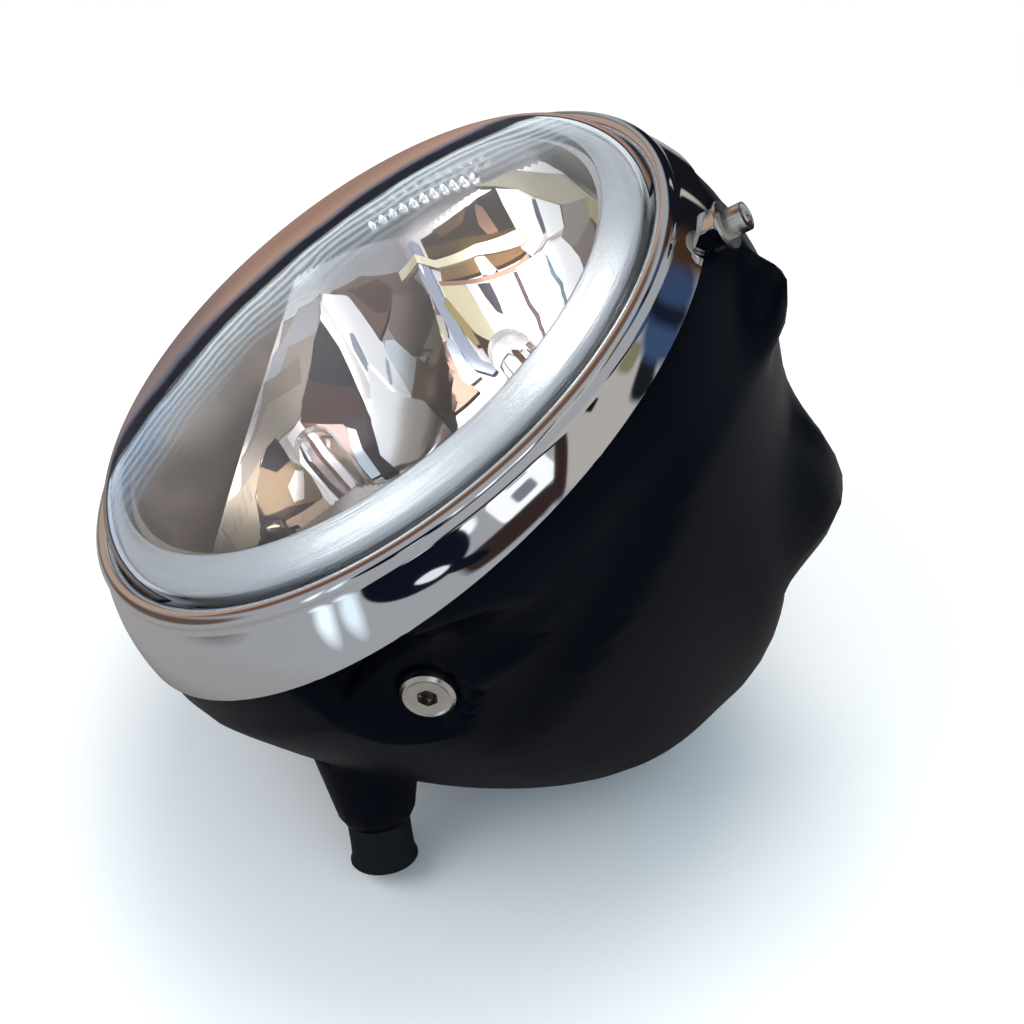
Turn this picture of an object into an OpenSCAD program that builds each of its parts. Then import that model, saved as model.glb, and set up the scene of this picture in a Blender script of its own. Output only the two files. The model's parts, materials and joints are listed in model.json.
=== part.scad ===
// Round motorcycle headlight: clear domed lens, two-chamber reflector,
// chrome trim ring and a moulded bucket that hangs on two side screws.
// Frame: lens looks toward -Y, +Z is up, the side screws lie along X.
// Origin: on the side screws' common axis, midway between the pads.

/* [Trim ring] */

// outer radius of the skirt at its rear edge
skirt_r = 100; // [99.5:0.1:100.5]
// sheet thickness
skirt_t = 1.1; // [0.9:0.1:1.3]
// radius of the circle the bead is centred on
bead_ring_r = 91; // [90.5:0.1:91.4]
// radius of the rounded bead
bead_r = 2.9; // [2.7:0.1:3]
// middle of the rear edge behind the bead
skirt_depth = 18.7; // [16:0.1:21]
// lean of the rear edge, deeper at the top
skirt_lean = 4.7; // [3:0.1:6]

/* [Lens] */

// outer radius of the lens wall
lens_r = 87.7; // [87.2:0.1:87.9]
// height of the dome in front of the bead plane
lens_rise = 22; // [19:0.5:25]
// glass thickness
lens_t = 2.6; // [2.2:0.1:3]

/* [Reflector] */

// radius of the window inside the satin bezel
window_r = 77.2; // [76.6:0.1:77.6]
// focal length of the upper bowl
upper_focus = 21; // [19:0.5:23]
// focal length of the lower bowl
lower_focus = 20; // [18:0.5:22]
// height of the upper bulb above the middle
upper_z = 33; // [32:0.5:34]
// depth of the lower bulb below the middle
lower_z = 33; // [32:0.5:34]

/* [Housing] */

// radius of the drum behind the trim ring
drum_r = 98.7; // [98.2:0.1:98.8]
// depth where the drum starts to close
bowl_start = 38; // [35:1:41]
// depth of the rear end
bowl_end = 151; // [147:1:155]
// wall thickness
wall = 3.2; // [2.8:0.1:3.6]
// height of the chin behind the ring screw
chin_rise = 10; // [7:0.5:11]
// radius of the rear keel
keel_r = 88; // [86:0.5:89]
// half width of the housing between its side pads
pad_x = 86; // [85:0.2:87]

/* [Side screws] */

// depth of the side screws behind the bead plane
side_y = 45; // [43:0.5:47]
// radius of the screw head
side_head_r = 7.4; // [6.8:0.1:8]
// thickness of the screw head
side_head_t = 4; // [3:0.1:5]
// thread radius
side_thread_r = 4; // [4:1:4]

/* [Ring screw] */

// place of the ring screw across the lamp
ring_screw_x = 3.5; // [0:0.5:4]
// depth of the ring screw
ring_screw_y = 11.5; // [11.5:0.1:12]
// distance of the screw tab below the middle
tab_z = 101; // [100.5:0.1:101.5]

/* [Cable spout] */

// outer radius of the rubber sleeve
sleeve_r = 8.9; // [8.5:0.1:9.5]
// length of the rubber sleeve
sleeve_len = 14.3; // [12:0.1:18]
// length of the moulded boss
boss_len = 15.3; // [13:0.1:18]

/* [Hidden] */

$fn = 96;
skirt_arc = 47.8;
skirt_cr = skirt_r - skirt_arc;
skirt_cz = -26.2;
fit = 0.2;
flange_y = 7.5;
flange_t = 2;
flange_r = 90.8;
bezel_t = 1.4;
mouth_y = 8;
side_hole_r = 7;
pocket_y = 42;
pocket_z = 2;
insert_len = 10;
tab_t = 1.2;
washer_t = 0.8;
ring_thread_r = 2.5;
nut_z = 91.4;
nut_t = 4;
nut_half = 4;
bulb_hole_r = 8.5;
upper_back = 50;
lower_back = 48;
spout_root = [-50, 89.8, 57.2];
spout_dir = [-0.236, 0.878, 0.416];
spout_bore_r = 5;
nipple_r = 7;
frame_front = 9.5;
post_y = 48;
post_t = 8;
stud_x = 68;
stud_r = 2.5;
adjuster_z = 82;
mouth_r = 74.9;
shelf = 2;
shoulder = 9;
shoulder_cr = lens_r - shoulder;
shoulder_z = 1.5;
dome_r = 284;
dome_z = lens_rise - dome_r;
dome_a = asin(shoulder_cr / (dome_r - shoulder));

// turns a piece drawn along +Z so that it looks out of the lens
module forward() {
  rotate([90, 0, 0]) children();
}

// soft step from 0 at a to 1 at b
function soft(a, b, x) = let(t = max(0, min(1, (x - a) / (b - a)))) t * t * (3 - 2 * t);

// radius of the plain bowl at depth y
function bowl(y) =
  y < -skirt_cz ? skirt_cr + sqrt(pow(skirt_arc - skirt_t - fit, 2) - pow(skirt_cz + y, 2))
  : y < bowl_start ? drum_r
  : drum_r * pow(max(0, 1 - pow((y - bowl_start) / (bowl_end - bowl_start), 1.16)), 0.55);

// the chin: a swelling of the lower drum that stops short behind
function chin(p, y) = chin_rise * exp(-pow(p / 10, 4)) * soft(24, 40, y) * (1 - soft(32.5, 48, y));

// the keel: a ridge that carries the lower drum on to the rear
function keel(y) = y < 60 ? keel_r : keel_r * sqrt(max(0, 1 - pow((y - 60) / 53, 11)));
function keel_part(p, y) =
  max(0, keel(y) - bowl(y) - cheek(p, y)) * (1 - soft(3, 24, p)) * soft(62, 84, y);

// a fuller cheek on each side of the keel
function cheek(p, y) = 6.7 * exp(-pow((p - 23) / 14, 2)) * exp(-pow((y - 112) / 35, 2));

// the scoop in each lower side and the crease behind it
function crease_y(p) = 79 - (88 - p) * 0.8;
function scoop(p, y) = let(t = max(0, min(1, (y - 19) / (crease_y(p) - 19))))
  5 * 6.75 * t * t * (1 - t) * soft(33, 50, p) * (1 - soft(80, 92, p));

// the flat side: half width allowed at depth y, lower flank only
function flank(y) = pad_x + 12.5 * pow(max(0, 38 - y) / 19, 2);

// pocket around the side screw: 1 inside, 0 outside
function pocket(p, y) = let(z = -drum_r * cos(p), dz = z - pocket_z)
  let(away = y > pocket_y ? norm([y - pocket_y, dz]) : max(0, dz - 0.19 * (pocket_y - y)))
  1 - pow(max(0, min(1, (away - 11.4) / 7.2)), 2);

// slot in front of the pad, hidden in part by the skirt
function slot(p, y) = let(z = -drum_r * cos(p), edge = 31.6 + 0.2 * z)
  soft(-16, -9, z) * (1 - soft(edge - 1.6, edge, y)) * soft(15, 19, y);

// half width limit at angle p and depth y
function limit_x(p, y) =
  let(low = soft(-11, -6, -drum_r * cos(p)))
  let(front = flank(y) * (1 - low) + pad_x * low)
  let(p_in = pocket(p, y))
  front + (1 - p_in) * 16 - slot(p, y) * p_in * 6;

// outer radius of the housing
function skin(p, y) =
  let(r = bowl(y) - scoop(p, y) + chin(p, y) + cheek(p, y) + keel_part(p, y))
  (p > 38 && p < 142 && y > 15) ? min(r, limit_x(p, y) / sin(p)) : r;

// inner radius of the housing
function lining(p, y) =
  let(r = bowl(y) - wall - (y < 14 ? 0 : 0.6) - scoop(p, y) * 1.1 + 0.75 * chin(p, y)
    + 0.8 * cheek(p, y) + 0.75 * keel_part(p, y))
  (p > 38 && p < 142 && y > 15) ? min(r, (pad_x - 11.6) / sin(p)) : r;

// angles from the bottom round to the top, closest together at the side pads
half_round = [0, 4, 7, 9, 11, 13, 16, 19, 22, 25, 29, 33, 38, 43, 48, 54, 60, 66, 72, 77,
  81, 84, 87, 90, 92.5, 94.5, 96, 97.3, 98.5, 99.6, 100.6, 101.6, 103, 105, 108, 112, 117, 124,
  132, 142, 153, 166, 180];
full_round = concat([for (a = half_round) [a, -1]],
  [for (i = [len(half_round) - 2:-1:1]) [half_round[i], 1]]);
outer_y = [mouth_y, 12, 16, 20, 23, 26, 28.5, 30, 31.6, 34, 36.5, 39, 41.5, 44.5, 48, 51, 54,
  56.5, 58.5, 61, 64, 68, 73, 79, 86, 93, 100, 105, 109, 112, 116, 122, 129, 136, 142, 146.5,
  bowl_end - 0.7];
inner_y = [mouth_y, 13, 16, 24, 36, 48, 60, 74, 90, 104, 118, 129, 137, bowl_end - 4.5];

// angle of the pocket's edge at depth y, and how far the columns of points bend to follow it
function edge_z(y) =
  pocket_z + (y > pocket_y ? sqrt(max(0, 16.9 * 16.9 - pow(y - pocket_y, 2))) : 16.9 + (pocket_y - y) * 0.19);
function bend(y) =
  (90 + asin(edge_z(y) / drum_r) - 100.6) * soft(10, 18, y) * (1 - soft(60, 80, y));
function turned(p, y) = p + bend(y) * exp(-pow((p - 100.6) / 14, 2));

// rows lean with the pad's front edge
function leaned(p, y) = y + 0.2 * max(-16, min(28, -drum_r * cos(p))) * soft(70, 80, p)
  * (1 - soft(108, 120, p)) * exp(-pow((y - 30.8) / 6, 2));

function ring_points(y, inside) = [for (a = full_round)
  let(p = inside ? a[0] : turned(a[0], y), q = inside ? y : leaned(p, y))
  let(r = inside ? lining(p, q) : skin(p, q)) [a[1] * r * sin(p), q, -r * cos(p)]];

// one closed shell: rings from the rear outside to the mouth and back inside
module bucket() {
  n = len(full_round);
  rows = len(outer_y) + len(inner_y);
  outer = [for (i = [len(outer_y) - 1:-1:0]) each ring_points(outer_y[i], false)];
  inner = [for (y = inner_y) each ring_points(y, true)];
  polyhedron(points = concat(outer, inner), faces = concat(
    [for (k = [0:rows - 2], i = [0:n - 1]) [k * n + i, k * n + (i + 1) % n, (k + 1) * n + (i + 1) % n]],
    [for (k = [0:rows - 2], i = [0:n - 1]) [k * n + i, (k + 1) * n + (i + 1) % n, (k + 1) * n + i]],
    [[for (i = [n - 1:-1:0]) i]],
    [[for (i = [0:n - 1]) (rows - 1) * n + i]]));
}

// the frame's origin lies on the side screws' axis, depths count from the bead plane
module hang() {
  translate([0, -side_y, 0]) children();
}

module at_spout(d) {
  translate(spout_root + d * spout_dir)
    rotate([0, acos(spout_dir[2]), atan2(spout_dir[1], spout_dir[0])]) children();
}

module housing() {
  hang() color([0.07, 0.08, 0.1]) difference() {
    union() {
      bucket();
      at_spout(-12) cylinder(h = boss_len + 9, r1 = 16, r2 = 11);
      at_spout(boss_len - 3) cylinder(h = 3, r1 = 11, r2 = 9.4);
      at_spout(boss_len) cylinder(h = sleeve_len - 3, r = nipple_r);
      translate([ring_screw_x, ring_screw_y, -tab_z]) cylinder(h = tab_z - nut_z, r = 4.6);
      translate([ring_screw_x, ring_screw_y, -nut_z - 3]) cylinder(h = 3, r = 6);
      for (s = [-1, 1]) translate([s * (pad_x - insert_len - 2), side_y, 0])
        rotate([0, s * 90, 0]) cylinder(h = insert_len, r = 10);
      for (s = [-1, 1]) side_post(s);
      top_post();
    }
    at_spout(-24) cylinder(h = 70, r = spout_bore_r);
    translate([ring_screw_x - 10, 0, -tab_z - 1]) cube([20, mouth_y, 20]);
    for (s = [-1, 1]) translate([s * 60, side_y, 0])
      rotate([0, s * 90, 0]) cylinder(h = 20, r = side_thread_r + 2 * fit);
    translate([ring_screw_x, ring_screw_y, -tab_z - 1]) cylinder(h = 20, r = ring_thread_r + fit);
    for (s = [-1, 1]) translate([s * (pad_x - insert_len), side_y, 0])
      rotate([0, s * 90, 0]) cylinder(h = 30, r = side_hole_r);
    translate([0, post_y - 5, adjuster_z]) rotate([-90, 0, 0]) cylinder(h = 20, r = stud_r + fit);
  }
}

// posts inside the bucket that the reflector frame hangs on
module side_post(s) {
  translate([min(s * (stud_x - 5), s * 77), post_y, -5]) cube([77 - stud_x + 5, post_t, 10]);
}

module top_post() {
  translate([-5, post_y, adjuster_z - 6]) cube([10, post_t, bowl(post_y + post_t) - 2 - adjuster_z + 6]);
}

module trim_ring() {
  x = ring_screw_x;
  hang() color([0.85, 0.86, 0.88]) difference() {
    union() {
      difference() {
        forward() rotate_extrude() ring_profile();
        translate([0, skirt_depth, 0]) rotate([-skirt_lean, 0, 0])
          translate([-150, 0, -150]) cube([300, 60, 300]);
        translate([x, ring_screw_y, -tab_z]) cylinder(h = 12, r = 5.2);
      }
      translate([x - 6, 0, 0]) rotate([90, 0, 90]) linear_extrude(12) polygon([
        [2.4, -92.6], [5, -94.2], [6.4, -tab_z], [16.6, -tab_z],
        [16.6, -tab_z - tab_t], [5.4, -tab_z - tab_t], [3.6, -96], [2.4, -94.6]]);
    }
    translate([x, ring_screw_y, -tab_z - 5]) cylinder(h = 20, r = ring_thread_r + fit);
  }
}

module ring_profile() {
  translate([bead_ring_r, -1.2]) circle(r = bead_r);
  translate([bead_ring_r - bead_r, -4]) square([1.2, 3]);
  intersection() {
    translate([skirt_cr, skirt_cz]) difference() {
      circle(r = skirt_arc);
      circle(r = skirt_arc - skirt_t);
    }
    translate([92.4, -34]) square([12, 31.9]);
  }
}

// half section of the lens body: dome, rounded shoulder and wall
module lens_shape(cut) {
  dome = dome_r - cut;
  intersection() {
    translate([0, dome_z]) circle(r = dome);
    polygon([[0, dome_z], [0, dome_z + 400], [400 * tan(dome_a), dome_z + 400]]);
  }
  intersection() {
    translate([shoulder_cr, shoulder_z]) circle(r = shoulder - cut);
    translate([0, shoulder_z]) square([120, 40]);
  }
  translate([0, -6 - cut]) square([shoulder_cr + shoulder - cut, shoulder_z + 6 + cut]);
  polygon([[0, -6], [0, shoulder_z + 4], [shoulder_cr, shoulder_z + 4], [shoulder_cr, -6]]);
}

module lens() {
  hang() color([0.9, 0.95, 1, 0.35]) forward() rotate_extrude() {
    difference() {
      lens_shape(0);
      lens_shape(lens_t);
    }
    translate([lens_r - lens_t, -6]) square([91 - lens_r + lens_t, 2]);
  }
}

module lens_seal() {
  hang() color([0.05, 0.05, 0.05]) forward() rotate_extrude()
    translate([86, -flange_y]) square([5, flange_y - 6]);
}

// satin ring that climbs inside the lens to the window edge
module bezel() {
  hang() color([0.7, 0.72, 0.75]) forward() rotate_extrude() polygon([
    [84.6, -flange_y], [84.6, -3], [83.9, 2.2], [82.3, 4.9], [80, 6.6], [window_r, 7.6],
    [window_r, 6.1], [79.2, 5.4], [81.2, 3.9], [82.5, 1.6], [83.2, -3], [83.2, -flange_y]]);
}

// bowl of revolution with its deepest point at the origin, open toward +Z
module dish(f, depth, grow = 0) {
  n = 14;
  top = sqrt(4 * f * depth);
  rotate_extrude() polygon(concat([[0, -grow]],
    [for (i = [0:n]) let(r = top * i / n) [r + grow * r / top, r * r / (4 * f) - grow * (1 - r / top)]],
    [[0, depth]]));
}

module bowl_room(z, back, f, grow) {
  intersection() {
    translate([0, z, -back]) dish(f, back - shelf, grow);
    translate([0, 0, -100]) cylinder(h = 200, r = mouth_r + grow);
  }
}

module reflector() {
  hang() color([0.8, 0.82, 0.84]) forward() difference() {
    union() {
      translate([0, 0, -flange_y - flange_t]) cylinder(h = flange_t, r = flange_r);
      translate([0, 0, -flange_y - flange_t]) cylinder(h = flange_y + flange_t + 5.4, r = mouth_r + 2);
      bowl_room(upper_z, upper_back, upper_focus, 2.2);
      bowl_room(-lower_z, lower_back, lower_focus, 2.2);
      translate([0, upper_z, -upper_back - 4]) cylinder(h = 8, r = 12);
      translate([0, -lower_z, -lower_back - 4]) cylinder(h = 8, r = 12);
      translate([0, upper_z + 29, -46]) cylinder(h = 6, r = 8);
    }
    translate([0, 0, -shelf]) cylinder(h = 40, r = mouth_r);
    bowl_room(upper_z, upper_back, upper_focus, 0);
    bowl_room(-lower_z, lower_back, lower_focus, 0);
    translate([0, upper_z, -upper_back - 10]) cylinder(h = 20, r = bulb_hole_r);
    translate([0, -lower_z, -lower_back - 10]) cylinder(h = 20, r = bulb_hole_r);
    translate([0, upper_z + 29, -60]) cylinder(h = 40, r = 5);
    translate([ring_screw_x - 7, -100, -20]) cube([14, 13.5, 30]);
  }
}

// steel ring behind the reflector flange with ears for the studs
module reflector_frame() {
  hang() color([0.5, 0.5, 0.52]) difference() {
    union() {
      forward() rotate_extrude() translate([81, -flange_y - flange_t - 1.5]) square([9.7, 1.5]);
      for (s = [-1, 1]) translate([min(s * (stud_x - 6), s * 84), frame_front, -6])
        cube([90 - stud_x, 1.5, 12]);
    }
    translate([ring_screw_x - 7, 0, -100]) cube([14, 30, 13.5]);
  }
}

module pivot_studs() {
  hang() color([0.7, 0.7, 0.72]) for (s = [-1, 1]) translate([s * stud_x, frame_front + 1.5, 0]) {
    rotate([-90, 0, 0]) cylinder(h = post_y - frame_front - 1.5, r = stud_r);
    rotate([-90, 0, 0]) cylinder(h = 3, r = 5);
  }
}

module adjuster_screw() {
  hang() color([0.75, 0.75, 0.78]) translate([0, frame_front + 1.5, adjuster_z]) rotate([-90, 0, 0]) {
    cylinder(h = post_y + post_t + 4 - frame_front - 1.5, r = stud_r);
    cylinder(h = 3, r = 5);
    translate([0, 0, post_y + post_t - frame_front - 1.5]) cylinder(h = 4, r = 4.5, $fn = 6);
  }
}

module adjuster_nut() {
  hang() color([0.9, 0.88, 0.8]) translate([0, post_y - 5, adjuster_z]) rotate([-90, 0, 0]) difference() {
    cylinder(h = 5, r = 6);
    translate([0, 0, -1]) cylinder(h = 7, r = stud_r);
  }
}

// a bulb drawn along +Z with its base plate behind the collar
module bulb_place(upper) {
  forward() translate([0, upper ? upper_z : -lower_z, -(upper ? upper_back : lower_back) - 4]) children();
}

module bulb_base() {
  color([0.75, 0.7, 0.6]) {
    translate([0, 0, -2.5]) cylinder(h = 2.5, r = 11);
    cylinder(h = 9, r = bulb_hole_r - 0.3);
    translate([0, 0, -8]) cylinder(h = 6, r = 6.5);
  }
}

module bulb_glass() {
  color([0.9, 0.9, 0.95, 0.5]) translate([0, 0, 9]) {
    cylinder(h = 26, r = 6);
    translate([0, 0, 26]) sphere(r = 6);
  }
}

module upper_bulb_glass() {
  hang() bulb_place(true) bulb_glass();
}

module upper_bulb_base() {
  hang() bulb_place(true) bulb_base();
}

module lower_bulb_glass() {
  hang() bulb_place(false) bulb_glass();
}

module lower_bulb_base() {
  hang() bulb_place(false) bulb_base();
}

module bulb_clips() {
  hang() color([0.7, 0.7, 0.72]) for (u = [true, false]) bulb_place(u) translate([0, 0, -3.3]) {
    rotate_extrude() translate([9.5, 0]) circle(r = 0.8);
    translate([9.5, 0, 0]) rotate([0, 90, 0]) cylinder(h = 8, r = 0.8);
  }
}

module bulb_plugs() {
  hang() color([0.12, 0.12, 0.12]) for (u = [true, false]) bulb_place(u) {
    translate([-8, -7, -26]) cube([16, 14, 18]);
    translate([-4, -4, -32]) cube([8, 8, 6]);
  }
}

module position_bulb() {
  hang() color([0.9, 0.9, 0.95, 0.5]) forward() translate([0, upper_z + 29, -46]) {
    cylinder(h = 8, r = 4.2);
    translate([0, 0, 8]) sphere(r = 4.2);
  }
}

module position_holder() {
  hang() color([0.15, 0.15, 0.15]) forward() translate([0, upper_z + 29, -46]) {
    translate([0, 0, -4]) cylinder(h = 4, r = 8);
    translate([0, 0, -14]) cylinder(h = 10, r = 6);
  }
}

module ring_clips() {
  hang() color([0.6, 0.6, 0.62]) for (a = [40, 130, 220, 310]) forward() rotate([0, 0, a])
    rotate_extrude(angle = 9) translate([91, -6]) square([2.2, 2]);
}

module mouth_seal() {
  hang() color([0.05, 0.05, 0.05]) forward() rotate_extrude()
    polygon([[92.3, -mouth_y], [94.9, -mouth_y], [94.3, -6.3], [92.3, -6.3]]);
}

module side_inserts() {
  hang() color([0.7, 0.62, 0.4]) for (s = [-1, 1]) translate([s * (pad_x - insert_len), side_y, 0])
    rotate([0, s * 90, 0]) difference() {
      cylinder(h = insert_len, r = side_hole_r);
      translate([0, 0, -1]) cylinder(h = insert_len + 2, r = side_thread_r);
    }
}

module side_screws() {
  hang() color([0.75, 0.76, 0.78]) for (s = [-1, 1]) translate([s * pad_x, side_y, 0]) rotate([0, s * 90, 0])
    difference() {
      union() {
        cylinder(h = side_head_t - 1.6, r = side_head_r);
        translate([0, 0, side_head_t - 1.6]) cylinder(h = 1.6, r1 = side_head_r, r2 = side_head_r - 1);
        translate([0, 0, -insert_len - 4]) cylinder(h = insert_len + 4, r = side_thread_r);
      }
      translate([0, 0, side_head_t - 2.2]) cylinder(h = 4, r = 2.9, $fn = 6);
    }
}

module ring_screw() {
  hang() color([0.75, 0.76, 0.78]) translate([ring_screw_x, ring_screw_y, -tab_z - tab_t - washer_t])
    rotate([180, 0, 0]) difference() {
      union() {
        cylinder(h = 5.5, r = 3.9);
        translate([0, 0, -15.5]) cylinder(h = 15.5, r = ring_thread_r);
      }
      translate([0, 0, 2.8]) cylinder(h = 4, r = 2.3, $fn = 6);
    }
}

module ring_washer() {
  hang() color([0.7, 0.71, 0.73]) translate([ring_screw_x, ring_screw_y, -tab_z - tab_t - washer_t]) difference() {
    cylinder(h = washer_t, r = 6.6);
    translate([0, 0, -1]) cylinder(h = 4, r = ring_thread_r + fit);
  }
}

module ring_nut() {
  hang() color([0.65, 0.66, 0.68]) translate([ring_screw_x, ring_screw_y, -nut_z]) difference() {
    translate([-nut_half, -nut_half, 0]) cube([2 * nut_half, 2 * nut_half, nut_t]);
    translate([0, 0, -1]) cylinder(h = nut_t + 2, r = ring_thread_r);
  }
}

module spout_sleeve() {
  hang() color([0.06, 0.06, 0.07]) at_spout(boss_len) difference() {
    union() {
      cylinder(h = sleeve_len, r = sleeve_r);
      translate([0, 0, sleeve_len - 1.6]) cylinder(h = 1.6, r = sleeve_r + 0.7);
    }
    translate([0, 0, -1]) cylinder(h = sleeve_len + 2, r = nipple_r);
  }
}

trim_ring();
lens();
lens_seal();
bezel();
reflector();
upper_bulb_glass();
upper_bulb_base();
lower_bulb_glass();
lower_bulb_base();
bulb_clips();
bulb_plugs();
position_bulb();
position_holder();
ring_clips();
mouth_seal();
housing();
side_inserts();
side_screws();
ring_screw();
ring_washer();
ring_nut();
spout_sleeve();
adjuster_screw();
adjuster_nut();
reflector_frame();
pivot_studs();
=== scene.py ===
import json
import math
import bpy
import bmesh
from mathutils import Matrix, Vector


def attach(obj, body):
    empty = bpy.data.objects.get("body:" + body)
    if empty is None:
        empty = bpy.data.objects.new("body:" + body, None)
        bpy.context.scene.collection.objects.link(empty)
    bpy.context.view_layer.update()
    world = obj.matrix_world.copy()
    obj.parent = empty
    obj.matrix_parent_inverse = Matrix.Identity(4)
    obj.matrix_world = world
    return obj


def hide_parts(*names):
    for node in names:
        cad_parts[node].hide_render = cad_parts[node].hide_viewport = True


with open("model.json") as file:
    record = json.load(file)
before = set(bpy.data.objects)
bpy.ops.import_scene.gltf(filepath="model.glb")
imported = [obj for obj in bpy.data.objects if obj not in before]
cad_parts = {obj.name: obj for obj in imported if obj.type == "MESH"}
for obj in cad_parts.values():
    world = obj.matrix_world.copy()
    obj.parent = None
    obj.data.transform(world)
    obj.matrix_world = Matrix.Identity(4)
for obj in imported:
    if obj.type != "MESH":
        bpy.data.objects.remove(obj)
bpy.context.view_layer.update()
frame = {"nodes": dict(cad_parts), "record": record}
nodes = frame["nodes"]
mm = 0.001
beadY = -45 * mm        # the bead's plane lies this far in front of the side screws' axis
print("frame loaded:", len(nodes), "nodes")


# small helpers

def editMode():
    bpy.ops.object.mode_set(mode="EDIT")


def objectMode():
    bpy.ops.object.mode_set(mode="OBJECT")


def clearSelection():
    for o in bpy.context.selected_objects:
        o.select_set(False)


def makeActive(obj):
    clearSelection()
    obj.select_set(True)
    bpy.context.view_layer.objects.active = obj
    return obj


def added(name):
    obj = bpy.context.object
    obj.name = name
    obj.data.name = name
    return obj


def applyPlace(obj):
    makeActive(obj)
    bpy.ops.object.transform_apply(location=True, rotation=True, scale=True)
    return obj


def joined(name, pieces):
    clearSelection()
    for p in pieces:
        p.select_set(True)
    bpy.context.view_layer.objects.active = pieces[0]
    bpy.ops.object.join()
    obj = bpy.context.object
    obj.name = name
    obj.data.name = name
    return obj


def smoothShade(obj, degrees):
    makeActive(obj)
    bpy.ops.object.shade_smooth_by_angle(angle=math.radians(degrees))
    return obj


def withModifier(obj, kind, **settings):
    makeActive(obj)
    mod = obj.modifiers.new(kind.lower(), kind)
    for key, value in settings.items():
        setattr(mod, key, value)
    bpy.ops.object.modifier_apply(modifier=mod.name)
    return obj


def addMaterial(obj, material):
    obj.data.materials.clear()
    obj.data.materials.append(material)
    return obj


def finishPiece(obj, material, slotName, *replaced):
    addMaterial(obj, material)
    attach(obj, "root")
    if replaced:
        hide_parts(*replaced)
    return obj


# a profile in (radius, length), millimetres, turned about Y; place it with placeAlong
def spun(name, profile, steps, closed=False, smooth=40):
    clearSelection()
    bpy.ops.mesh.primitive_plane_add(size=2 * mm, location=(0, 0, 0))
    obj = added(name)
    editMode()
    mesh = bmesh.from_edit_mesh(obj.data)
    mesh.verts.ensure_lookup_table()
    for v in mesh.verts[1:]:
        v.select_set(False)
    start = mesh.verts[0]
    bmesh.ops.delete(mesh, geom=[v for v in mesh.verts if v is not start], context="VERTS")
    radius, depth = profile[0]
    start.co = (radius * mm, depth * mm, 0)
    start.select_set(True)
    bmesh.update_edit_mesh(obj.data)
    path = list(profile[1:]) + ([profile[0]] if closed else [])
    for nextRadius, nextDepth in path:
        bpy.ops.mesh.extrude_region_move(TRANSFORM_OT_translate={
            "value": ((nextRadius - radius) * mm, (nextDepth - depth) * mm, 0)})
        radius, depth = nextRadius, nextDepth
    bpy.ops.mesh.select_all(action="SELECT")
    bpy.ops.mesh.spin(steps=steps, angle=2 * math.pi, center=(0, 0, 0), axis=(0, 1, 0))
    bpy.ops.mesh.select_all(action="SELECT")
    bpy.ops.mesh.remove_doubles(threshold=0.00001)
    bpy.ops.mesh.normals_make_consistent(inside=False)
    objectMode()
    return smoothShade(obj, smooth)


# moves a spun piece so that its length runs from a point (millimetres) along a direction
def placeAlong(obj, point, direction):
    obj.matrix_world = (Matrix.Translation(Vector(point) * mm)
                        @ Vector(direction).to_track_quat("Y", "Z").to_matrix().to_4x4())
    return applyPlace(obj)


# depths in these profiles count from the bead's plane
def turned(name, profile, steps, closed=False, smooth=40):
    return placeAlong(spun(name, profile, steps, closed, smooth), (0, beadY / mm, 0), (0, 1, 0))


def cutBy(obj, cutter, operation="DIFFERENCE"):
    withModifier(obj, "BOOLEAN", object=cutter, operation=operation, solver="EXACT")
    bpy.data.objects.remove(cutter)
    return obj


def cylinder(name, point, direction, radius, length, sides=48):
    clearSelection()
    bpy.ops.mesh.primitive_cylinder_add(vertices=sides, radius=radius * mm, depth=length * mm)
    obj = added(name)
    obj.matrix_world = (Matrix.Translation(Vector(point) * mm)
                        @ Vector(direction).to_track_quat("Z", "Y").to_matrix().to_4x4())
    return applyPlace(obj)


def arcPoints(cx, cy, radius, start, end, count):
    return [(cx + radius * math.cos(math.radians(start + (end - start) * i / count)),
             cy + radius * math.sin(math.radians(start + (end - start) * i / count)))
            for i in range(count + 1)]


# a copy of a CAD node with its triangles joined, so that it shades smoothly
def smoothCopy(nodeName, newName, degrees=32):
    source = nodes[nodeName]
    clearSelection()
    copy = source.copy()
    copy.data = source.data.copy()
    for key in list(copy.keys()):
        del copy[key]
    copy.parent = None
    copy.name = newName
    copy.data.name = newName
    bpy.context.scene.collection.objects.link(copy)
    makeActive(copy)
    editMode()
    bpy.ops.mesh.select_all(action="SELECT")
    bpy.ops.mesh.remove_doubles(threshold=0.00002)
    bpy.ops.mesh.normals_make_consistent(inside=False)
    objectMode()
    return smoothShade(copy, degrees)


# the photo's camera

camera = dict(
    place=(-620.0, -400.4, -365.2),      # mm, in the lamp's own frame
    right=(0.1079, 0.5556, -0.8244),     # the picture's right and down, seen in the same frame
    down=(-0.6583, 0.6617, 0.3598),
    focalShare=3000 / 1024,              # focal length as a share of the picture's width
    sensor=36.0,
)
right = Vector(camera["right"]).normalized()
down = Vector(camera["down"])
down = (down - right * down.dot(right)).normalized()
ahead = right.cross(down)
lensData = bpy.data.cameras.new("camera")
lensData.sensor_width = camera["sensor"]
lensData.lens = camera["sensor"] * camera["focalShare"]
lensData.clip_start = 0.01
cameraObject = bpy.data.objects.new("camera", lensData)
bpy.context.scene.collection.objects.link(cameraObject)
turn = Matrix((right, -down, -ahead)).transposed().to_4x4()
cameraObject.matrix_world = Matrix.Translation(Vector(camera["place"]) * mm) @ turn
bpy.context.scene.camera = cameraObject
print("camera placed")

# node groups shared by the materials

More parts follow.
